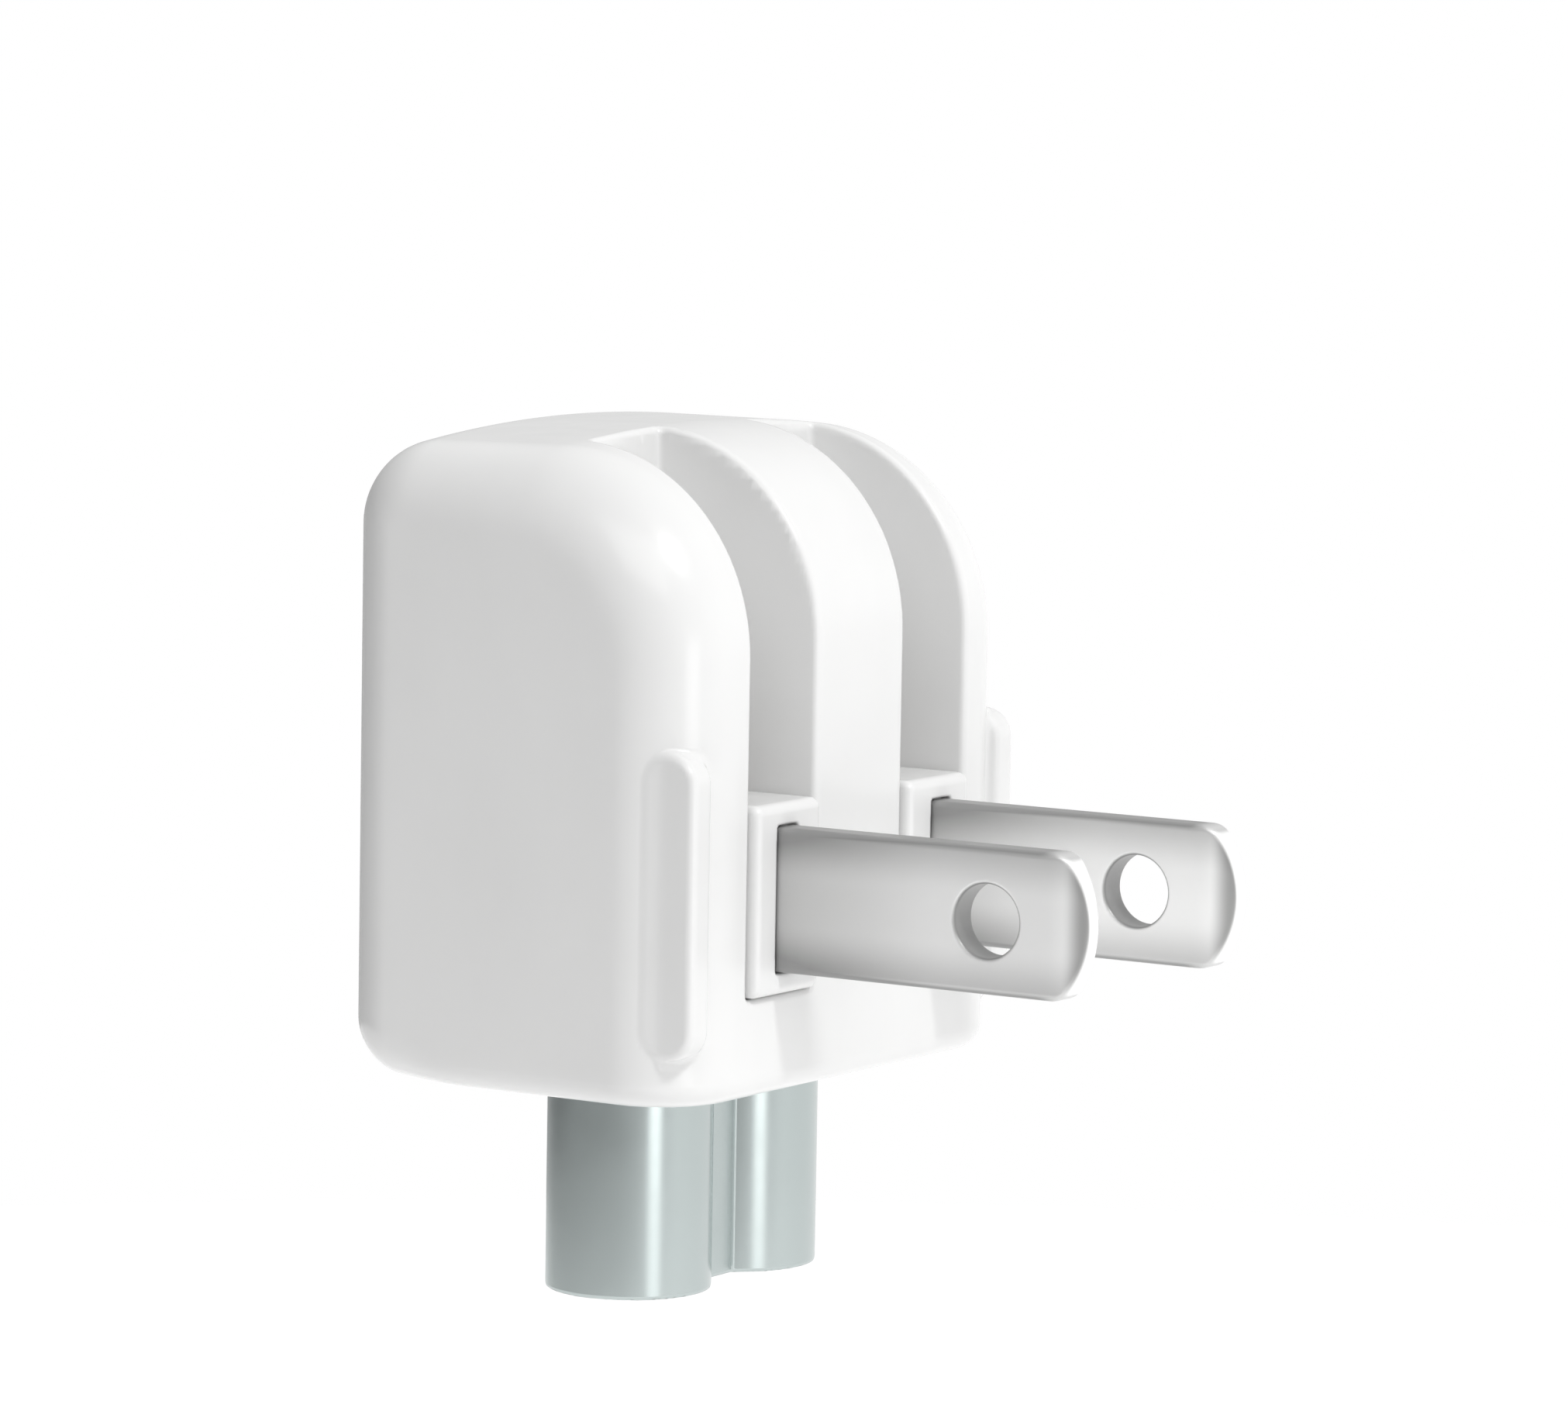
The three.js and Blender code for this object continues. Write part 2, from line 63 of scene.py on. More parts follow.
# ---- Dimensions in millimetres ---------------------------------------------------------------------------

BODY_LOW, BODY_HIGH = corners("front_housing")
BODY_HALF = BODY_HIGH[0]
BODY_BACK = BODY_HIGH[1]
BODY_BOTTOM, BODY_TOP = BODY_LOW[2], BODY_HIGH[2]
FRONT_EDGE_ROUND = 4.0
BACK_EDGE_ROUND = 2.8
FRONT_TOP_ROUND = 9.0
BACK_TOP_ROUND = 3.5
CROWN = 1.0  # how much lower the top is at the sides than in the middle
BOTTOM_ROUND = 1.1
BACK_BOTTOM_ROUND = 2.6
SIDE_BLEND, BOTTOM_BLEND = (2, 17), (12, 18)  # where along Y the front rounding turns into the back one

GAP = 0.3  # between pieces that touch
RUNNING_GAP = 0.25
SEEN_GAP = 0.12  # beside the carrier's heads
FLOOR_GAP = 0.06  # under them
PRESS_GAP = 0.07  # round a blade's root in the carrier
WALL = 1.7
RIB_WALL = 1.0
EDGE = 0.3  # rounding of the edges seen from outside
INNER_EDGE = 0.3  # rounding inside the housing

SLOT_CENTRE, SLOT_WIDTH, SLOT_DEPTH, SLOT_WALL = 6.2, 5.2, 8.5, 1.2
SLOT_IN = SLOT_CENTRE - SLOT_WIDTH / 2
SLOT_OUT = SLOT_CENTRE + SLOT_WIDTH / 2
SLOT_BACK = SLOT_DEPTH + SLOT_WALL
GRIP_OUT, GRIP_THICK, GRIP_DEPTH, GRIP_TOP, GRIP_BOTTOM = 13.2, 1.5, 2.6, 6.7, -6.5

BLADE_LOW, BLADE_HIGH = corners("blade_right")
BLADE_X, BLADE_HALF, BLADE_THICK = 6.35, 3.175, 1.52
BLADE_TIP = BLADE_LOW[1]
TIP_BULGE, TIP_BEVEL, TIP_THICK = 1.3, 1.5, 0.7
HOLE_RADIUS, HOLE_FROM_TIP = 1.59, 5.0
TANG_HALF, TANG_BACK, TANG_THICK = 2.5, BLADE_HIGH[1], 1.4
SHOULDER = -0.1

CARRIER_LOW, CARRIER_HIGH = corners("blade_carrier")
CARRIER_FRONT = CARRIER_LOW[1]
CARRIER_HALF = CARRIER_HIGH[2]
PIVOT_Y = CARRIER_HALF + CARRIER_FRONT
HEAD_HALF = SLOT_WIDTH / 2 - SEEN_GAP
SHAFT_RADIUS, STUB_RADIUS, STUB_END = 1.8, 1.4, CARRIER_HIGH[0]
CAM_HALF, CAM_ROUND = 2.0, 0.8
HEEL_HALF, HEEL_TALL, HEEL_ROUND = 1.5, 2.2, 1.0
HEEL_FRONT, HEEL_BACK = 5.3, 7.8
TANG_OVERLAP = 2.0
SHAFT_SEAT_FRONT = 1.7

CONNECTOR_Y, CONNECTOR_HALF_PITCH = 9.0, 4.3
LOBE, WAIST = 3.7, 2.0
CONNECTOR_LOW, CONNECTOR_HIGH = corners("connector_body")
CONNECTOR_END, FLANGE_TOP = CONNECTOR_LOW[2], CONNECTOR_HIGH[2]
FLANGE_OVERHANG = 0.9
SLEEVE, BORE, ENTRY, LIP, BORE_DEPTH = 1.6, 1.25, 1.45, 1.2, 10.0
SLIT_HALF, SLIT_DEPTH = 0.2, 0.6 * BORE_DEPTH

FRAME_LOW, FRAME_HIGH = corners("contact_frame")
FRAME_HALF, FRAME_FRONT, FRAME_BACK, FRAME_TOP = 9.9, 8.85, 11.0, 4.0
FRAME_BOTTOM = FRAME_LOW[2]
TONGUE_HALF, TONGUE_TOP = 2.1, FRAME_HIGH[2]
ARM_HALF = 0.45
SPRING_X, SPRING_HALF, SPRING_THICK, SPRING_BEND = 6.3, 1.5, 0.3, 0.55
SPRING_LOW, SPRING_END = -3.25, -0.85
STRIP_X, STRIP_HALF, STRIP_THICK, STRIP_BEND = 5.4, 1.8, 0.4, 0.6
STRIP_START, STRIP_TOP = 7.5, 2.2
DETENT_ROOT, DETENT_END, DETENT_FLAT, DETENT_BEND, DETENT_HALF = 8.4, 3.1, 2.3, 0.8, 1.9
RIVET_X, RIVET_Z, RIVET_SHANK, RIVET_HOLE, RIVET_HEAD = 6.0, 1.2, 0.6, 0.85, 1.2
RIVET_DOME, RIVET_DOME_SET, RIVET_SKIN = 2.12, 1.72, 1.0
SCREW_Z, SCREW_SHANK, SCREW_HOLE, SCREW_HEAD, SCREW_BOSS = 7.2, 0.8, 1.1, 1.6, 2.0
SCREW_TIP, SCREW_BORE_FRONT, SCREW_DOME, SCREW_DOME_SET = 3.3, 3.0, 2.6, 1.6
THREAD_PITCH, THREAD_DEPTH, THREAD_SLOPE = 0.7, 0.2, 0.8
THREAD_FULL, THREAD_FADE, THREAD_END = 3.9, 9.9, 10.6
CROSS_HALF, CROSS_REACH, CROSS_FLOOR = 0.16, 0.85, 0.35
BUSH_FRONT, BUSH_BACK, BUSH_HALF, BUSH_ROUND = 2.1, 6.0, 2.4, 0.6

COVER_HALF, COVER_TOP, COVER_BOTTOM, COVER_CORNER, COVER_THICK = 11.6, 16.6, -6.2, 3.0, 2.4
COVER_FRONT = BODY_BACK - COVER_THICK
STUD_NECK, STUD_HEAD, STUD_LIP, STUD_DEPTH, STUD_WALL, STUD_TOP = 2.2, 3.7, 1.2, 3.0, 1.0, 5.0

# Radii of roundings and fillets, from the smallest up
HAIR, TRACE, FAINT, SHARP, CRISP, SMALL, MILD, SOFT, BROAD = 0.05, 0.06, 0.08, 0.1, 0.12, 0.15, 0.2, 0.25, 0.3
HOLE_EDGE, GRIP_EDGE, TIP_CORNER, HEAD_EDGE, PLATE_CORNER, TONGUE_ROUND = 0.16, 0.35, 0.4, 0.45, 0.6, 1.0
PAST = 1.0  # how far a form reaches past the surface that it cuts or joins

# ---- Grids in millimetres --------------------------------------------------------------------------------

FINE, COARSE = 0.135, 0.45  # steps beside the housing's edges and between them
FINE_REACH, COARSE_REACH = 0.45, 1.8  # how far from an edge the steps stay fine, and where they are coarse
STEPS_BELOW, STEPS_ABOVE = 2.4, 2  # fine steps beyond the ends of a grid
MARK_INSET = 0.6  # how far inside a fin's ends its edges are marked
SLOPE_REACH = 0.004
SETTLING_ROUNDS = 4
TINY = 1e-9
ARC_STEPS = 8

# ---- Looks -----------------------------------------------------------------------------------------------

PATTERN_MIDDLE = (0.3, 0.7)  # where most of a noise's values lie
PLASTIC_IOR = 1.5
FLOW_SIZE, FLOW_STRETCH = 6, (1, 1, 0.5)
RIPPLE_SIZE, RIPPLE_DEPTH, PLASTIC_GLOSS_SIZE, PLASTIC_GLOSS = 1.6, 1.5, 2.5, (0.88, 1.12)
LINE_SIZE, STAIN_SIZE, STAIN_SHADE, METAL_GLOSS = 0.09, 2.2, 0.95, (0.93, 1.08)
DENT_SIZE, DENT_DEPTH = 0.9, 3

# The blades' darker colour is painted shade standing in for darker reflections: at the root, along the long
# edges, at the rim by the tip, on the bevel and round the hole.
NICKEL_BRIGHT, NICKEL_PAINTED_SHADE, NICKEL_METALLIC = (0.95, 0.95, 0.945), (0.3, 0.3, 0.298), 0.4
ROOT_PAINTED_SHADE, ROOT_START, ROOT_END = 0.66, 0.5, 0.6 * BLADE_TIP
EDGE_PAINTED_SHADE, EDGE_START, EDGE_END = 0.5, 0.3 * BLADE_HALF, 1.05 * BLADE_HALF
RIM_PAINTED_SHADE, RIM_START, RIM_END = 0.6, BLADE_HALF - 0.3, BLADE_HALF - 0.05
RIM_TIP, RIM_FULL = BLADE_TIP + TIP_BULGE, BLADE_TIP + 2 * TIP_BULGE
BEVEL_PAINTED_SHADE, BEVEL_START, BEVEL_END = 0.85, BLADE_TIP + 0.9 * TIP_BEVEL, BLADE_TIP + 0.25 * TIP_BEVEL
HOLE_START, HOLE_END = HOLE_RADIUS + 0.02, HOLE_RADIUS + 0.16
SIDE_ON = (-0.8, -0.5)  # a normal's Y, from facing the outlet, where no painted shade is laid, to facing sideways

FLOOR_Z = -60.0  # far enough down that the part hangs clear of it, as in the photograph
FLOOR_RADIUS, FLOOR_SIDES = 260.0, 128
FLOOR_COLOUR, FLOOR_ROUGHNESS, FLOOR_GLOW = (0.97, 0.97, 0.97), 0.8, 0.2
WHITE = (1, 1, 1, 1)
BRIGHT_SIDE = (0.85, -0.53, 0)
LEFT_LIGHT, ROUND_LIGHT, RIGHT_LIGHT, ABOVE_LIGHT = 0.08, 0.45, 0.65, 0.55
TURN_TO_ROUND, TURN_TO_RIGHT = (-0.7, 0.2), (0.25, 0.7)  # along the bright side
BAND_FADE, RISE_TO_ABOVE = (0.1, 0.5), (0.1, 1.0)  # along the height
LIGHT_DISTANCE = 600.0
LIGHTS = (  # name, azimuth, elevation, width, height, power
    ("front_box", -22, -2, 170, 260, 0.36),
    ("key", -19, 50, 80, 80, 1.2),
    ("fill", -62, 42, 400, 300, 0.72),
)

IMAGE_WIDTH = 2023
SENSOR_WIDTH = 36.0
CAMERA_DISTANCE = 320.0
CAMERA_AZIMUTH, CAMERA_ELEVATION, CAMERA_ROLL = -57.36, 6.02, 0.95
FOCAL_PIXELS = 9224.0
CLIP_START, CLIP_END = 0.01, 100
AIM = Vector((0, 9.5, 5.0))
AIM_RIGHT, AIM_UP = 4.62, 2.27


# ---- Fields ----------------------------------------------------------------------------------------------


def meet(a, b, r=0.0):
    """What two forms share, with the edge where they meet rounded to radius r."""
    return np.minimum(np.maximum(a, b), -r) + np.hypot(np.maximum(a + r, 0), np.maximum(b + r, 0))


def join(a, b, r=0.0):
    """Two forms as one, with a fillet of radius r where they meet."""
    return -meet(-a, -b, r)


def cut(a, b, r=0.0):
    """The first form without the second, with the new edge rounded to radius r."""
    return meet(a, -b, r)


def slab(u, low, high):
    """Between two parallel planes."""
    return np.abs(u - (low + high) / 2) - (high - low) / 2


def ease(u, low, high):
    """Rises smoothly from 0 at low to 1 at high."""
    t = np.clip((u - low) / (high - low), 0, 1)
    return t * t * (3 - 2 * t)


def disc(u, v, radius):
    return np.hypot(u, v) - radius


def arch(u, v, half):
    """A strip with a round top whose centre is at v = 0."""
    return np.hypot(u, np.maximum(v, 0)) - half


def figure_eight(x, y):
    """Two round lobes side by side along X, joined by a waist with flat sides."""
    u = np.abs(x) - CONNECTOR_HALF_PITCH
    v = np.abs(y - CONNECTOR_Y)
    return join(disc(u, v, LOBE), np.maximum(u, v - WAIST), HAIR)


def bent_path(points, bend):
    """A line through the points with its corners turned into arcs of radius bend."""
    points = [np.array(p, float) for p in points]
    path = [points[0]]
    for before, corner, after in zip(points, points[1:], points[2:]):
        a = (before - corner) / np.linalg.norm(before - corner)
        b = (after - corner) / np.linalg.norm(after - corner)
        half = math.acos(float(np.clip(a @ b, -1, 1))) / 2
        centre = corner + (a + b) / np.linalg.norm(a + b) * bend / math.sin(half)
        start = corner + a * bend / math.tan(half) - centre
        end = corner + b * bend / math.tan(half) - centre
        turn = math.atan2(start[0] * end[1] - start[1] * end[0], start @ end)
        for k in range(ARC_STEPS + 1):
            angle = turn * k / ARC_STEPS
            c, s = math.cos(angle), math.sin(angle)
            path.append(centre + np.array([c * start[0] - s * start[1], s * start[0] + c * start[1]]))
    path.append(points[-1])
    return path


def along_path(u, v, path):
    """The distance to the nearest point of a path."""
    nearest = np.full(np.shape(u), np.inf)
    for (u0, v0), (u1, v1) in zip(path, path[1:]):
        du, dv = u1 - u0, v1 - v0
        t = np.clip(((u - u0) * du + (v - v0) * dv) / (du * du + dv * dv), 0, 1)
        nearest = np.minimum(nearest, np.hypot(u - u0 - t * du, v - v0 - t * dv))
    return nearest


# ---- Meshes ----------------------------------------------------------------------------------------------


def planes(low, high, fine, coarse, marks):
    """Grid planes from low to high, fine beside each mark and coarse between the marks."""
    at = [low - STEPS_BELOW * fine]
    while at[-1] < high + STEPS_ABOVE * fine:
        away = min(abs(at[-1] - mark) for mark in marks)
        at.append(at[-1] + fine + (coarse - fine) * float(ease(away, FINE_REACH, COARSE_REACH)))
    return np.array(at)


def mirrored(high, fine, coarse, marks):
    """Grid planes on both sides of zero, fine beside each mark."""
    at = planes(0, high, fine, coarse, marks)
    at = at - at[0] + (at[1] - at[0]) / 2
    return np.concatenate([-at[::-1], at])


def surface_net(field, grid):
    """The closed surface where the field is zero: points and four-sided faces that look outward."""
    values = field(*np.meshgrid(*grid, indexing="ij"))
    inside = values < 0
    cells = [n - 1 for n in values.shape]
    sums = np.zeros((math.prod(cells), 3))
    counts = np.zeros(math.prod(cells))
    faces = []
    for axis in range(3):
        first = tuple(slice(None, -1) if k == axis else slice(None) for k in range(3))
        second = tuple(slice(1, None) if k == axis else slice(None) for k in range(3))
        edge = np.nonzero(inside[first] != inside[second])
        a, b = values[first][edge], values[second][edge]
        point = np.stack([grid[k][edge[k]] for k in range(3)], axis=1)
        point[:, axis] += a / (a - b) * (grid[axis][edge[axis] + 1] - grid[axis][edge[axis]])
        around = []
        for du, dv in ((-1, -1), (0, -1), (0, 0), (-1, 0)):
            index = list(edge)
            index[(axis + 1) % 3] = edge[(axis + 1) % 3] + du
            index[(axis + 2) % 3] = edge[(axis + 2) % 3] + dv
            cell = np.ravel_multi_index(index, cells)
            counts += np.bincount(cell, minlength=len(counts))
            for k in range(3):
                sums[:, k] += np.bincount(cell, weights=point[:, k], minlength=len(counts))
            around.append(cell)
        quads = np.stack(around, axis=1)
        rising = inside[first][edge]
        faces.append(np.where(rising[:, None], quads, quads[:, ::-1]))
    used = counts > 0
    numbers = np.cumsum(used) - 1
    return sums[used] / counts[used][:, None], numbers[np.concatenate(faces)]


def slope_at(field, points):
    """The field's rate of change along X, Y and Z."""
    x, y, z = points.T
    reach = SLOPE_REACH
    return np.stack(
        [
            field(x + reach, y, z) - field(x - reach, y, z),
            field(x, y + reach, z) - field(x, y - reach, z),
            field(x, y, z + reach) - field(x, y, z - reach),
        ],
        axis=1,
    ) / (2 * reach)


def settled(field, points, limit):
    """The points moved onto the surface, no step longer than the limit."""
    for _ in range(SETTLING_ROUNDS):
        slope = slope_at(field, points)
        step = (field(*points.T) / np.maximum((slope**2).sum(axis=1), TINY))[:, None] * slope
        length = np.linalg.norm(step, axis=1)[:, None]
        points = points - step * np.minimum(1, limit / np.maximum(length, TINY))
    return points


def add_piece(node, field, grid, material, fine):
    """Makes the fine mesh that stands for a CAD node, and gives it that node's body and material slot."""
    points, faces = surface_net(field, grid)
    points = settled(field, points, fine)
    normals = slope_at(field, points)
    normals /= np.maximum(np.linalg.norm(normals, axis=1), TINY)[:, None]
    mesh = bpy.data.meshes.new(f"{node}_form")
    mesh.from_pydata((points / MM).tolist(), [], faces.tolist())
    mesh.polygons.foreach_set("use_smooth", [True] * len(mesh.polygons))
    mesh.materials.append(material)
    mesh.update()
    mesh.normals_split_custom_set_from_vertices(normals.tolist())
    piece = bpy.data.objects.new(f"{node}_form", mesh)
    bpy.context.scene.collection.objects.link(piece)
    bodies = frame["record"]["behaviour"]["bodies"]
    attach(piece, next(body for body, members in bodies.items() if node in members))
    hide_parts(node)
    return piece


# ---- Materials -------------------------------------------------------------------------------------------


def new_material(name, colour, metallic):
    """A material with its shader, and the place on the piece in millimetres for its patterns."""
    material = bpy.data.materials.new(name)
    material.use_nodes = True
    tree = material.node_tree
    tree.nodes.clear()
    output = tree.nodes.new("ShaderNodeOutputMaterial")
    shader = tree.nodes.new("ShaderNodeBsdfPrincipled")
    tree.links.new(shader.outputs["BSDF"], output.inputs["Surface"])
    shader.inputs["Base Color"].default_value = (*colour, 1)
    shader.inputs["Metallic"].default_value = metallic
    place = tree.nodes.new("ShaderNodeTexCoord")
    millimetres = tree.nodes.new("ShaderNodeMapping")
    millimetres.inputs["Scale"].default_value = (MM, MM, MM)
    tree.links.new(place.outputs["Object"], millimetres.inputs["Vector"])
    return material, tree, shader, millimetres.outputs["Vector"]


def noise(tree, vector, size, stretch=(1, 1, 1), detail=3):
    """Noise whose blotches are about size millimetres across, longer along an axis whose stretch is small."""
    mapping = tree.nodes.new("ShaderNodeMapping")
    mapping.inputs["Scale"].default_value = stretch
    tree.links.new(vector, mapping.inputs["Vector"])
    pattern = tree.nodes.new("ShaderNodeTexNoise")
    pattern.inputs["Scale"].default_value = 1 / size
    pattern.inputs["Detail"].default_value = detail
    tree.links.new(mapping.outputs["Vector"], pattern.inputs["Vector"])
    return pattern.outputs["Fac"]


def ramp(tree, value, start, end, low, high, shape="SMOOTHSTEP"):
    """A change from low to high as the value goes from start to end."""
    node = tree.nodes.new("ShaderNodeMapRange")
    node.interpolation_type = shape
    node.inputs["From Min"].default_value = start
    node.inputs["From Max"].default_value = end
    node.inputs["To Min"].default_value = low
    node.inputs["To Max"].default_value = high
    tree.links.new(value, node.inputs["Value"])
    return node.outputs["Result"]


def fade(tree, metres, start, end, low, high):
    """A smooth change between two places in millimetres along a measure in metres."""
    return ramp(tree, metres, start / MM, end / MM, low, high)


def spread(tree, value, low, high):
    """The pattern's middle range as numbers from low to high."""
    return ramp(tree, value, *PATTERN_MIDDLE, low, high, "LINEAR")


def maths(tree, operation, *values, clamp=False):
    """One step of arithmetic on patterns, kept between 0 and 1 if clamp is set."""
    node = tree.nodes.new("ShaderNodeMath")
    node.operation = operation
    node.use_clamp = clamp
    for value, socket in zip(values, node.inputs):
        tree.links.new(value, socket)
    return node.outputs["Value"]


def tint(tree, shader, value, first, second):
    """Colours the piece between two colours by a pattern."""
    mix = tree.nodes.new("ShaderNodeMix")
    mix.data_type = "RGBA"
    mix.inputs["A"].default_value = (*first, 1)
    mix.inputs["B"].default_value = (*second, 1)
    tree.links.new(value, mix.inputs["Factor"])
    tree.links.new(mix.outputs["Result"], shader.inputs["Base Color"])


def relief(tree, shader, heights):
    """Bumps from a list of patterns, each with its depth in micrometres."""
    below = None
    for height, depth in heights:
        bump = tree.nodes.new("ShaderNodeBump")
        bump.inputs["Distance"].default_value = depth * MICROMETRE
        tree.links.new(height, bump.inputs["Height"])
        if below is not None:
            tree.links.new(below, bump.inputs["Normal"])
        below = bump.outputs["Normal"]
    tree.links.new(below, shader.inputs["Normal"])


def plastic(name, colour, roughness, grain, depth, mottle=0.015, metallic=0.0):
    """Moulded plastic: soft flow mottling, a fine grain of the mould, and slightly uneven gloss."""
    material, tree, shader, place = new_material(name, colour, metallic)
    flow = spread(tree, noise(tree, place, FLOW_SIZE, FLOW_STRETCH), 0, 1)
    paler = [min(1, c * (1 + mottle)) for c in colour]
    deeper = [c * (1 - mottle) for c in colour]
    tint(tree, shader, flow, paler, deeper)
    grit = noise(tree, place, grain)
    ripple = noise(tree, place, RIPPLE_SIZE, detail=1)
    gloss_pattern = noise(tree, place, PLASTIC_GLOSS_SIZE)
    gloss = spread(tree, gloss_pattern, roughness * PLASTIC_GLOSS[0], roughness * PLASTIC_GLOSS[1])
    tree.links.new(gloss, shader.inputs["Roughness"])
    relief(tree, shader, [(ripple, depth * RIPPLE_DEPTH), (grit, depth)])
    shader.inputs["IOR"].default_value = PLASTIC_IOR
    return material


def metal(name, colour, roughness, brushed, depth=0.3):
    """Rolled metal: fine lines along one axis, faint staining and uneven gloss."""
    material, tree, shader, place = new_material(name, colour, 1)
    lines = noise(tree, place, LINE_SIZE, brushed, detail=4)
    stain = spread(tree, noise(tree, place, STAIN_SIZE), 0, 1)
    deeper = [c * STAIN_SHADE for c in colour]
    tint(tree, shader, stain, colour, deeper)
    gloss = spread(tree, lines, roughness * METAL_GLOSS[0], roughness * METAL_GLOSS[1])
    tree.links.new(gloss, shader.inputs["Roughness"])
    relief(tree, shader, [(lines, depth), (noise(tree, place, DENT_SIZE), DENT_DEPTH * depth)])
    return material


def blade_nickel():
    """Satin nickel, with painted shade that darkens it at the root, edges, rim, bevel and round the hole,
    standing in for darker reflections; faces that look at the outlet keep the plain colour.
    """
    material = metal("satin_nickel", NICKEL_BRIGHT, roughness=0.4, brushed=(1, 0.04, 1), depth=0.1)
    tree = material.node_tree
    shader = next(node for node in tree.nodes if node.type == "BSDF_PRINCIPLED")
    shader.inputs["Metallic"].default_value = NICKEL_METALLIC
    place = tree.nodes.new("ShaderNodeTexCoord")
    parts = tree.nodes.new("ShaderNodeSeparateXYZ")
    tree.links.new(place.outputs["Object"], parts.inputs["Vector"])
    along = parts.outputs["Y"]
    tall = maths(tree, "ABSOLUTE", parts.outputs["Z"])
    # Painted shade: darker towards the root, the long edges, the rim by the tip and the bevel.
    root = fade(tree, along, ROOT_START, ROOT_END, ROOT_PAINTED_SHADE, 0)
    edge = fade(tree, tall, EDGE_START, EDGE_END, 0, EDGE_PAINTED_SHADE)
    rim = fade(tree, tall, RIM_START, RIM_END, 0, RIM_PAINTED_SHADE)
    rim = maths(tree, "MULTIPLY", rim, fade(tree, along, RIM_TIP, RIM_FULL, 0, 1), clamp=True)
    bevel = fade(tree, along, BEVEL_START, BEVEL_END, 0, BEVEL_PAINTED_SHADE)
    painted_shade = root
    for mask in (edge, rim, bevel):
        painted_shade = maths(tree, "ADD", painted_shade, mask, clamp=True)
    facing = tree.nodes.new("ShaderNodeSeparateXYZ")
    tree.links.new(place.outputs["Normal"], facing.inputs["Vector"])
    painted_shade = maths(tree, "MULTIPLY", painted_shade, ramp(tree, facing.outputs["Y"], *SIDE_ON, 0, 1), clamp=True)

    # Painted shade in a ring round the hole, added to the rest of the blade's painted shade.
    from_hole = tree.nodes.new("ShaderNodeVectorMath")
    from_hole.operation = "MULTIPLY_ADD"
    from_hole.inputs[1].default_value = (0, MM, MM)
    from_hole.inputs[2].default_value = (0, -BLADE_TIP - HOLE_FROM_TIP, 0)
    tree.links.new(place.outputs["Object"], from_hole.inputs[0])
    away = tree.nodes.new("ShaderNodeVectorMath")
    away.operation = "LENGTH"
    tree.links.new(from_hole.outputs["Vector"], away.inputs[0])
    hole = ramp(tree, away.outputs["Value"], HOLE_START, HOLE_END, 1, 0)
    painted_shade = maths(tree, "ADD", painted_shade, hole, clamp=True)
    tint(tree, shader, painted_shade, NICKEL_BRIGHT, NICKEL_PAINTED_SHADE)
    return material


white_plastic = plastic("white_polycarbonate", (0.76, 0.76, 0.757), roughness=0.22, grain=0.12, depth=0.4)
grey_plastic = plastic(
    "grey_satin_plastic",
    (0.47, 0.52, 0.515),
    roughness=0.235,
    grain=0.3,
    depth=0.15,
    mottle=0.01,
    metallic=0.92,
)
frame_plastic = plastic(
    "natural_matt_plastic", (0.62, 0.58, 0.45), roughness=0.5, grain=0.1, depth=2.0, mottle=0.04
)
bush_plastic = plastic(
    "natural_bearing_plastic", (0.78, 0.74, 0.63), roughness=0.35, grain=0.1, depth=1.0, mottle=0.03
)
nickel = blade_nickel()
brass = metal("stamped_brass", (0.70, 0.52, 0.22), roughness=0.32, brushed=(1, 1, 0.05))
bronze = metal("spring_bronze", (0.60, 0.38, 0.2), roughness=0.3, brushed=(1, 1, 0.05))
steel = metal("spring_steel", (0.55, 0.56, 0.58), roughness=0.31, brushed=(1, 0.1, 1))


# ---- The housing and its cover ---------------------------------------------------------------------------


def body_form(u, y, z):
    """The rounded body, with a top domed across the width and side edges rounder in front than behind."""
    side = FRONT_EDGE_ROUND + (BACK_EDGE_ROUND - FRONT_EDGE_ROUND) * ease(y, *SIDE_BLEND)
    low = BOTTOM_ROUND + (BACK_BOTTOM_ROUND - BOTTOM_ROUND) * ease(y, *BOTTOM_BLEND)
    above = z - BODY_TOP + CROWN * (u / BODY_HALF) ** 2
    outline = meet(-y, above, FRONT_TOP_ROUND)
    outline = meet(outline, y - BODY_BACK, BACK_TOP_ROUND)
    return meet(meet(outline, u - BODY_HALF, side), BODY_BOTTOM - z, low)


def cover_outline(u, z, shrink):
    across = u - COVER_HALF + shrink
    tall = slab(z, COVER_BOTTOM + shrink, COVER_TOP - shrink)
    return meet(across, tall, COVER_CORNER - shrink)


def stud_channel(u, y, z):
    """The charger's stud slides up it: a narrow neck at the back face and a wide part behind it."""
    neck_front = BODY_BACK - STUD_LIP
    neck = meet(arch(u, z - STUD_TOP, STUD_NECK), neck_front - PAST - y)
    head = meet(arch(u, z - STUD_TOP, STUD_HEAD), slab(y, neck_front - STUD_DEPTH, neck_front), MILD)
    return join(neck, head)


def grip(u, y, z):
    """A fin with round ends on the housing's front edge."""
    radius = GRIP_DEPTH / 2
    above = np.maximum(z - GRIP_TOP + radius, 0) + np.minimum(z - GRIP_BOTTOM - radius, 0)
    return meet(np.hypot(y - radius, above) - radius, slab(u, GRIP_OUT - GRIP_THICK, GRIP_OUT), GRIP_EDGE)


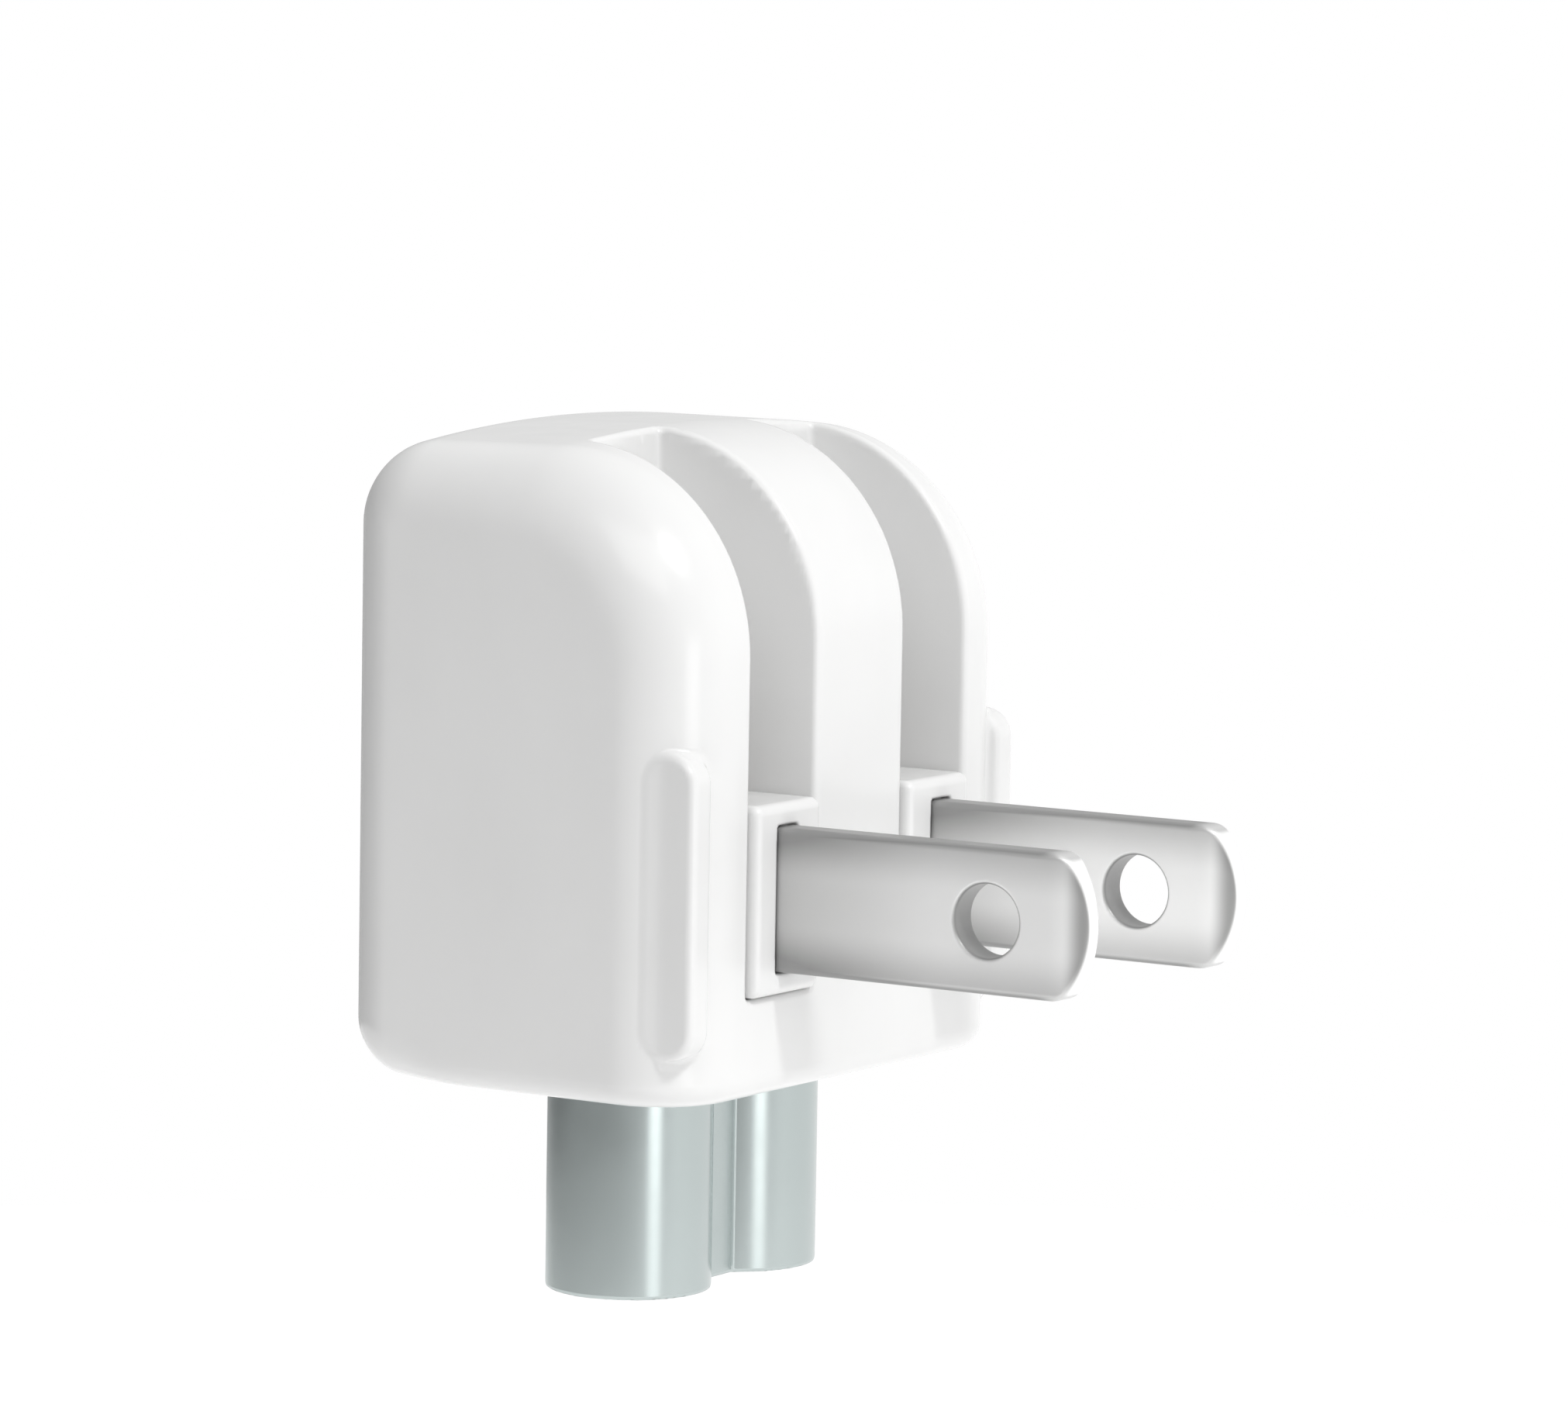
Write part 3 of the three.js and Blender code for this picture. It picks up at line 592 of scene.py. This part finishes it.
def front_housing(x, y, z):
    u = np.abs(x)
    body = body_form(u, y, z)
    seat = COVER_FRONT - GAP
    shell = join(body, grip(u, y, z), GRIP_EDGE)
    shell = cut(shell, meet(body + WALL, y - seat, INNER_EDGE), INNER_EDGE)
    shell = cut(shell, meet(cover_outline(u, z, 0), seat - PAST - y), MILD)

    end_wall = CARRIER_HALF + 2 * GAP + SPRING_THICK
    across = slab(u, SLOT_IN - SLOT_WALL, SLOT_OUT + SLOT_WALL)
    upper = meet(meet(across, y - SLOT_BACK, INNER_EDGE), end_wall - z, INNER_EDGE)
    lower = meet(meet(across, y - FRAME_FRONT + GAP, INNER_EDGE), -CARRIER_HALF - z, INNER_EDGE)
    walls = meet(join(upper, lower), body + WALL / 2)
    shell = join(shell, walls, INNER_EDGE)
    recess = meet(meet(u - SLOT_IN + SLOT_WALL, np.abs(z) - CARRIER_HALF), RIB_WALL - y, INNER_EDGE)
    shell = cut(shell, meet(recess, y - SLOT_DEPTH))
    boss = meet(disc(x, z - SCREW_Z, SCREW_BOSS), slab(y, WALL / 2, FRAME_FRONT - GAP), INNER_EDGE)
    shell = join(shell, boss, INNER_EDGE)

    floor = -CARRIER_HALF - FLOOR_GAP
    gap = slab(u, SLOT_IN, SLOT_OUT)
    deep = meet(meet(gap, y - SLOT_DEPTH, EDGE), floor - z, EDGE)
    through = meet(meet(meet(gap, y - SLOT_BACK), floor - z, EDGE), z - end_wall)
    shell = cut(shell, join(deep, through), EDGE)
    shaft_seat = slab(u, SLOT_IN - SLOT_WALL - GAP, SLOT_IN + GAP)
    shaft_seat = meet(shaft_seat, slab(y, SHAFT_SEAT_FRONT, SLOT_BACK), MILD)
    shaft_seat = meet(shaft_seat, np.abs(z) - SHAFT_RADIUS - GAP, MILD)
    bush_seat = slab(u, SLOT_OUT - GAP, SLOT_OUT + SLOT_WALL + GAP)
    bush_seat = meet(bush_seat, slab(y, BUSH_FRONT - GAP, SLOT_BACK))
    bush_seat = meet(bush_seat, np.abs(z) - BUSH_HALF - GAP, MILD)
    shell = cut(shell, join(shaft_seat, bush_seat), SMALL)
    screw = meet(disc(x, z - SCREW_Z, SCREW_HOLE), slab(y, SCREW_BORE_FRONT, FRAME_FRONT))
    inlet = meet(figure_eight(x, y) - GAP, z - BODY_BOTTOM - WALL - PAST)
    shell = cut(cut(shell, screw, SHARP), inlet, MILD)
    return cut(shell, stud_channel(u, y, z), SOFT)


def rear_cover(x, y, z):
    u = np.abs(x)
    plate = meet(meet(cover_outline(u, z, GAP), COVER_FRONT - y, MILD), body_form(u, y, z), SOFT)
    half = STUD_HEAD + STUD_WALL
    boss = meet(arch(u, z - STUD_TOP, half), COVER_BOTTOM + GAP - z)
    front = BODY_BACK - STUD_LIP - STUD_DEPTH - STUD_WALL
    boss = meet(boss, slab(y, front, COVER_FRONT + PAST), SOFT)
    return cut(join(plate, boss, BROAD), stud_channel(u, y, z), SOFT)


def connector_body(x, y, z):
    floor_top = BODY_BOTTOM + WALL
    stem = meet(figure_eight(x, y), slab(z, CONNECTOR_END, floor_top + 2 * GAP), SMALL)
    flange = meet(figure_eight(x, y) - FLANGE_OVERHANG, y - CONNECTOR_HIGH[1], MILD)
    flange = meet(flange, slab(z, floor_top + GAP, FLANGE_TOP), SMALL)
    whole = join(stem, flange, SHARP)
    across = np.abs(x) - CONNECTOR_HALF_PITCH
    bore = meet(disc(across, y - CONNECTOR_Y, SLEEVE + GAP), CONNECTOR_END + LIP - z, SMALL)
    entry = disc(across, y - CONNECTOR_Y, ENTRY)
    return cut(cut(whole, bore, SHARP), meet(entry, z - CONNECTOR_END - 2 * LIP), BROAD)


# ---- The contacts and their frame ------------------------------------------------------------------------


def contact_frame(x, y, z):
    u = np.abs(x)
    thick = slab(y, FRAME_FRONT, FRAME_BACK)
    plate = meet(meet(u - FRAME_HALF, slab(z, FRAME_BOTTOM, FRAME_TOP), PLATE_CORNER), thick, MILD)
    tongue = meet(meet(u - TONGUE_HALF, slab(z, 0, TONGUE_TOP), TONGUE_ROUND), thick, MILD)
    arm_x = SLOT_OUT + SLOT_WALL / 2
    arm = meet(slab(u, arm_x - ARM_HALF, arm_x + ARM_HALF), np.abs(z) - BUSH_HALF + GAP, SMALL)
    arm = meet(arm, slab(y, BUSH_BACK + GAP, FRAME_FRONT + PAST), SMALL)
    whole = join(join(plate, tongue, BROAD), arm, SOFT)
    rivet = meet(disc(u - RIVET_X, z - RIVET_Z, RIVET_HOLE), FRAME_FRONT + RIVET_SKIN - y, SHARP)
    return cut(cut(whole, rivet, SMALL), disc(x, z - SCREW_Z, SCREW_HOLE), SMALL)


SPRING_FRONT = FRAME_FRONT - GAP - SPRING_THICK / 2
SPRING_BACK = FRAME_BACK + GAP + SPRING_THICK / 2
SPRING_OVER = FRAME_TOP + GAP + SPRING_THICK / 2
STRIP_BACK = SPRING_BACK + SPRING_THICK / 2 + GAP + STRIP_THICK / 2
STRIP_FOOT = FLANGE_TOP + GAP + STRIP_THICK / 2
SPRING_CORNERS = (
    (SPRING_FRONT, SPRING_LOW),
    (SPRING_FRONT, SPRING_OVER),
    (SPRING_BACK, SPRING_OVER),
    (SPRING_BACK, SPRING_END),
)
SPRING_PATH = bent_path(SPRING_CORNERS, SPRING_BEND)
STRIP_CORNERS = ((STRIP_START, STRIP_FOOT), (STRIP_BACK, STRIP_FOOT), (STRIP_BACK, STRIP_TOP))
STRIP_PATH = bent_path(STRIP_CORNERS, STRIP_BEND)


def contact_spring(x, y, z):
    leaf = along_path(y, z, SPRING_PATH) - SPRING_THICK / 2
    leaf = meet(leaf, np.abs(x - SPRING_X) - SPRING_HALF, SHARP)
    return cut(leaf, meet(disc(x - RIVET_X, z - RIVET_Z, RIVET_HOLE), FRAME_BACK - y), HAIR)


def bus_strip(x, y, z):
    strip = along_path(y, z, STRIP_PATH) - STRIP_THICK / 2
    strip = meet(strip, np.abs(x - STRIP_X) - STRIP_HALF, CRISP)
    return cut(strip, meet(disc(x - RIVET_X, z - RIVET_Z, RIVET_HOLE), FRAME_BACK - y), TRACE)


def strip_rivet(x, y, z):
    radius = np.hypot(x - RIVET_X, z - RIVET_Z)
    head_front = STRIP_BACK + STRIP_THICK / 2 + GAP
    shank = meet(radius - RIVET_SHANK, slab(y, FRAME_FRONT + RIVET_SKIN + GAP, head_front + GAP), SHARP)
    dome = np.hypot(radius, y - head_front + RIVET_DOME_SET) - RIVET_DOME
    head = meet(meet(radius - RIVET_HEAD, dome, SHARP), head_front - y, FAINT)
    return join(shank, head, SHARP)


def frame_screw(x, y, z):
    radius = np.hypot(x, z - SCREW_Z)
    turn = np.arctan2(z - SCREW_Z, x) / (2 * np.pi)
    phase = np.abs((y / THREAD_PITCH - turn) % 1 - 0.5) * 2
    depth = THREAD_DEPTH * ease(y, SCREW_TIP, THREAD_FULL) * (1 - ease(y, THREAD_FADE, THREAD_END))
    thread = (radius - SCREW_SHANK + depth * (1 - phase)) * THREAD_SLOPE
    head_front = FRAME_BACK + GAP
    shank = meet(thread, slab(y, SCREW_TIP, head_front + GAP), SMALL)
    head = meet(radius - SCREW_HEAD, np.hypot(radius, y - head_front + SCREW_DOME_SET) - SCREW_DOME, MILD)
    head = meet(head, head_front - y, SHARP)
    arm = meet(np.minimum(np.abs(x), np.abs(z - SCREW_Z)) - CROSS_HALF, radius - CROSS_REACH, HAIR)
    return cut(join(shank, head, SMALL), meet(arm, head_front + CROSS_FLOOR - y), TRACE)


def detent_spring(x, y, z):
    reach = PIVOT_Y + (CAM_HALF - CAM_ROUND) * math.sqrt(2) + CAM_ROUND + RUNNING_GAP + SPRING_THICK / 2
    lower = [(DETENT_ROOT, -DETENT_END), (reach, -DETENT_FLAT)]
    upper = [(reach, DETENT_FLAT), (DETENT_ROOT, DETENT_END)]
    path = bent_path(lower + upper, DETENT_BEND)
    leaf = along_path(y, z, path) - SPRING_THICK / 2
    return meet(leaf, np.abs(x) - DETENT_HALF, SHARP)


def socket_contact(x, y, z):
    across, along = x - CONNECTOR_HALF_PITCH, y - CONNECTOR_Y
    low = CONNECTOR_END + LIP + GAP
    sleeve = meet(disc(across, along, SLEEVE), slab(z, low, FLANGE_TOP), CRISP)
    bore = meet(disc(across, along, BORE), z - low - BORE_DEPTH, BROAD)
    slit = meet(np.abs(across) - SLIT_HALF, z - low - SLIT_DEPTH, SHARP)
    return cut(cut(sleeve, bore, CRISP), slit, FAINT)


def axle_bush(x, y, z):
    centre = SLOT_OUT + SLOT_WALL / 2 + GAP
    block = meet(slab(y, BUSH_FRONT, BUSH_BACK), np.abs(z) - BUSH_HALF, BUSH_ROUND)
    block = meet(block, np.abs(x - centre) - (SLOT_WALL + GAP) / 2, SMALL)
    return cut(block, disc(y - PIVOT_Y, z, STUB_RADIUS + RUNNING_GAP), CRISP)


# ---- The blades and their carrier ------------------------------------------------------------------------


def blade(x, y, z):
    tall = np.abs(z)
    tip_radius = (BLADE_HALF**2 + TIP_BULGE**2) / (2 * TIP_BULGE)
    outline = meet(tall - BLADE_HALF, np.hypot(y - BLADE_TIP - tip_radius, z) - tip_radius, TIP_CORNER)
    outline = np.where(y < BLADE_TIP + tip_radius, outline, tall - BLADE_HALF)
    outline = meet(outline, y - SHOULDER, SMALL)
    taper = math.atan2((BLADE_THICK - TIP_THICK) / 2, TIP_BEVEL)
    across = np.abs(x - BLADE_X)
    bevel = (across - TIP_THICK / 2) * math.cos(taper) - (y - BLADE_TIP) * math.sin(taper)
    thick = meet(across - BLADE_THICK / 2, bevel, SHARP)
    body = meet(outline, thick, BROAD)
    tang = meet(meet(tall - TANG_HALF, y - TANG_BACK, MILD), across - TANG_THICK / 2, SMALL)
    body = join(body, meet(tang, SHOULDER - TANG_OVERLAP - y), HAIR)
    return cut(body, disc(y - BLADE_TIP - HOLE_FROM_TIP, z, HOLE_RADIUS), HOLE_EDGE)


def blade_carrier(x, y, z):
    u = np.abs(x)
    head = meet(CARRIER_FRONT - y, np.abs(z) - CARRIER_HALF, HEAD_EDGE)
    head = np.where(y > PIVOT_Y, disc(y - PIVOT_Y, z, CARRIER_HALF), head)
    head = meet(head, np.abs(u - SLOT_CENTRE) - HEAD_HALF, BROAD)
    bar = disc(y - PIVOT_Y, z, SHAFT_RADIUS)
    shaft = meet(bar, u - SLOT_CENTRE)
    cam = meet(slab(y, PIVOT_Y - CAM_HALF, PIVOT_Y + CAM_HALF), np.abs(z) - CAM_HALF, CAM_ROUND)
    cam = meet(cam, u - SLOT_IN + SLOT_WALL + RUNNING_GAP, SMALL)
    stub = meet(disc(y - PIVOT_Y, z, STUB_RADIUS), u - STUB_END, MILD)
    whole = join(join(join(shaft, stub), cam, SMALL), head, SMALL)
    beside = np.abs(u - BLADE_X)
    root = meet(beside - BLADE_THICK / 2 - PRESS_GAP, np.abs(z) - BLADE_HALF - PRESS_GAP, SMALL)
    root = meet(root, y - CARRIER_FRONT - 2 * GAP)
    tang = meet(beside - BLADE_THICK / 2 - PRESS_GAP, np.abs(z) - TANG_HALF - PRESS_GAP, SMALL)
    tang = meet(tang, y - TANG_BACK - GAP)
    heel = meet(beside - HEEL_HALF - GAP, np.abs(z) - HEEL_TALL - GAP, SMALL)
    heel = meet(heel, HEEL_FRONT - GAP - y)
    return cut(cut(cut(whole, root, CRISP), tang, CRISP), heel, CRISP)


def heel_contact(x, y, z):
    profile = meet(y - HEEL_BACK, np.abs(z) - HEEL_TALL, HEEL_ROUND)
    profile = meet(profile, HEEL_FRONT - y, CRISP)
    return meet(profile, np.abs(x - BLADE_X) - HEEL_HALF, SMALL)


# ---- Building --------------------------------------------------------------------------------------------


def even(node, fine):
    """A grid with equal steps over a node's box."""
    low, high = corners(node)
    return [planes(a, b, fine, fine, [0]) for a, b in zip(low, high)]


def on_side(field, sign):
    """The same field on the other side of the part."""
    return lambda x, y, z: field(sign * x, y, z)


housing_grid = [
    mirrored(BODY_HALF, FINE, COARSE, [SLOT_IN, SLOT_OUT, GRIP_OUT - GRIP_THICK, GRIP_OUT]),
    planes(0, BODY_BACK, FINE, COARSE, [0, GRIP_DEPTH, SLOT_DEPTH, COVER_FRONT - GAP, BODY_BACK]),
    planes(
        BODY_BOTTOM,
        BODY_TOP,
        FINE,
        COARSE,
        [BODY_BOTTOM, GRIP_BOTTOM + MARK_INSET, -CARRIER_HALF, GRIP_TOP - MARK_INSET],
    ),
]
add_piece("front_housing", front_housing, housing_grid, white_plastic, FINE)
cover_low, cover_high = corners("rear_cover")
cover_grid = [
    mirrored(COVER_HALF, FINE, COARSE, [STUD_NECK, STUD_HEAD, COVER_HALF]),
    planes(cover_low[1], BODY_BACK, FINE, FINE, [0]),
    planes(cover_low[2], cover_high[2], FINE, COARSE, [COVER_BOTTOM, COVER_TOP, STUD_TOP + STUD_HEAD]),
]
add_piece("rear_cover", rear_cover, cover_grid, white_plastic, FINE)
single = [  # the CAD node, its field, its material and its grid step
    ("connector_body", connector_body, grey_plastic, 0.17),
    ("contact_frame", contact_frame, frame_plastic, 0.16),
    ("frame_screw", frame_screw, steel, 0.06),
    ("detent_spring", detent_spring, steel, 0.09),
    ("blade_carrier", blade_carrier, white_plastic, 0.12),
]
for node, field, material, step in single:
    add_piece(node, field, even(node, step), material, step)
for side, sign in SIDES:
    paired = [
        (f"blade_{side}", blade, nickel, 0.1),
        (f"heel_contact_{side}", heel_contact, brass, 0.12),
        (f"socket_contact_{side}", socket_contact, brass, 0.1),
        (f"bus_strip_{side}", bus_strip, brass, 0.1),
        (f"contact_spring_{side}", contact_spring, bronze, 0.08),
        (f"strip_rivet_{side}", strip_rivet, brass, 0.07),
        (f"axle_bush_{side}", axle_bush, bush_plastic, 0.1),
    ]
    for node, field, material, step in paired:
        add_piece(node, on_side(field, sign), even(node, step), material, step)


# ---- Floor, light and camera -----------------------------------------------------------------------------


def pale_floor():
    mesh = bpy.data.meshes.new("floor")
    turns = [2 * math.pi * k / FLOOR_SIDES for k in range(FLOOR_SIDES)]
    rim = [(FLOOR_RADIUS * math.cos(t) / MM, FLOOR_RADIUS * math.sin(t) / MM, FLOOR_Z / MM) for t in turns]
    mesh.from_pydata(rim, [], [tuple(range(FLOOR_SIDES))])
    material, _, shader, _ = new_material("pale_floor", FLOOR_COLOUR, 0)
    shader.inputs["Roughness"].default_value = FLOOR_ROUGHNESS
    shader.inputs["Emission Color"].default_value = WHITE
    shader.inputs["Emission Strength"].default_value = FLOOR_GLOW
    mesh.materials.append(material)
    floor = bpy.data.objects.new("floor", mesh)
    bpy.context.scene.collection.objects.link(floor)


def soft_light(name, azimuth, elevation, width, height, power):
    """A soft box in millimetres that faces the part from an azimuth and elevation in degrees."""
    data = bpy.data.lights.new(name, "AREA")
    data.shape = "RECTANGLE"
    data.size, data.size_y = width / MM, height / MM
    data.energy = power
    light = bpy.data.objects.new(name, data)
    bpy.context.scene.collection.objects.link(light)
    around, above = math.radians(azimuth), math.radians(elevation)
    back = Vector((math.sin(around) * math.cos(above), -math.cos(around) * math.cos(above), math.sin(above)))
    light.location = AIM / MM + back * LIGHT_DISTANCE / MM
    light.rotation_euler = back.to_track_quat("Z", "Y").to_euler()


def studio_world():
    """Pale light from all round, brighter from above and darker on the left. The backdrop itself is white."""
    world = bpy.data.worlds.new("studio")
    bpy.context.scene.world = world
    world.use_nodes = True
    tree = world.node_tree
    tree.nodes.clear()
    output = tree.nodes.new("ShaderNodeOutputWorld")
    seen = tree.nodes.new("ShaderNodeBackground")
    lit = tree.nodes.new("ShaderNodeBackground")
    for background in (seen, lit):
        background.inputs["Color"].default_value = WHITE
    direction = tree.nodes.new("ShaderNodeTexCoord")
    parts = tree.nodes.new("ShaderNodeSeparateXYZ")
    tree.links.new(direction.outputs["Generated"], parts.inputs["Vector"])
    forward = tree.nodes.new("ShaderNodeVectorMath")
    forward.operation = "DOT_PRODUCT"
    forward.inputs[1].default_value = BRIGHT_SIDE
    tree.links.new(direction.outputs["Generated"], forward.inputs[0])
    sideways = forward.outputs["Value"]
    around = ramp(tree, sideways, *TURN_TO_ROUND, LEFT_LIGHT, ROUND_LIGHT)
    right = ramp(tree, sideways, *TURN_TO_RIGHT, 0, RIGHT_LIGHT)
    level = ramp(tree, maths(tree, "ABSOLUTE", parts.outputs["Z"]), *BAND_FADE, 1, 0)
    band = maths(tree, "MULTIPLY_ADD", right, level, around)
    above = ramp(tree, parts.outputs["Z"], *RISE_TO_ABOVE, 0, ABOVE_LIGHT)
    tree.links.new(maths(tree, "ADD", band, above), lit.inputs["Strength"])
    path = tree.nodes.new("ShaderNodeLightPath")
    mix = tree.nodes.new("ShaderNodeMixShader")
    tree.links.new(path.outputs["Is Camera Ray"], mix.inputs[0])
    tree.links.new(lit.outputs[0], mix.inputs[1])
    tree.links.new(seen.outputs[0], mix.inputs[2])
    tree.links.new(mix.outputs[0], output.inputs["Surface"])


def add_camera():
    """The camera of the photograph, found from the blades' standard sizes and the corners of the housing."""
    azimuth, elevation = math.radians(CAMERA_AZIMUTH), math.radians(CAMERA_ELEVATION)
    level = math.cos(elevation)
    back = Vector((math.sin(azimuth) * level, -math.cos(azimuth) * level, math.sin(elevation)))
    right = Vector((0, 0, 1)).cross(back).normalized()
    up = back.cross(right)
    place = AIM + right * AIM_RIGHT + up * AIM_UP + back * CAMERA_DISTANCE
    roll = math.radians(CAMERA_ROLL)
    rolled_right = right * math.cos(roll) + up * math.sin(roll)
    rolled_up = up * math.cos(roll) - right * math.sin(roll)
    data = bpy.data.cameras.new("camera")
    data.sensor_width = SENSOR_WIDTH
    data.lens = FOCAL_PIXELS * SENSOR_WIDTH / IMAGE_WIDTH
    data.clip_start, data.clip_end = CLIP_START, CLIP_END
    camera = bpy.data.objects.new("camera", data)
    bpy.context.scene.collection.objects.link(camera)
    turned = Matrix((rolled_right, rolled_up, back)).transposed().to_4x4()
    camera.matrix_world = Matrix.Translation(place / MM) @ turned
    bpy.context.scene.camera = camera


pale_floor()
studio_world()
for light in LIGHTS:
    soft_light(*light)
add_camera()
bpy.context.scene.view_settings.view_transform = "Standard"
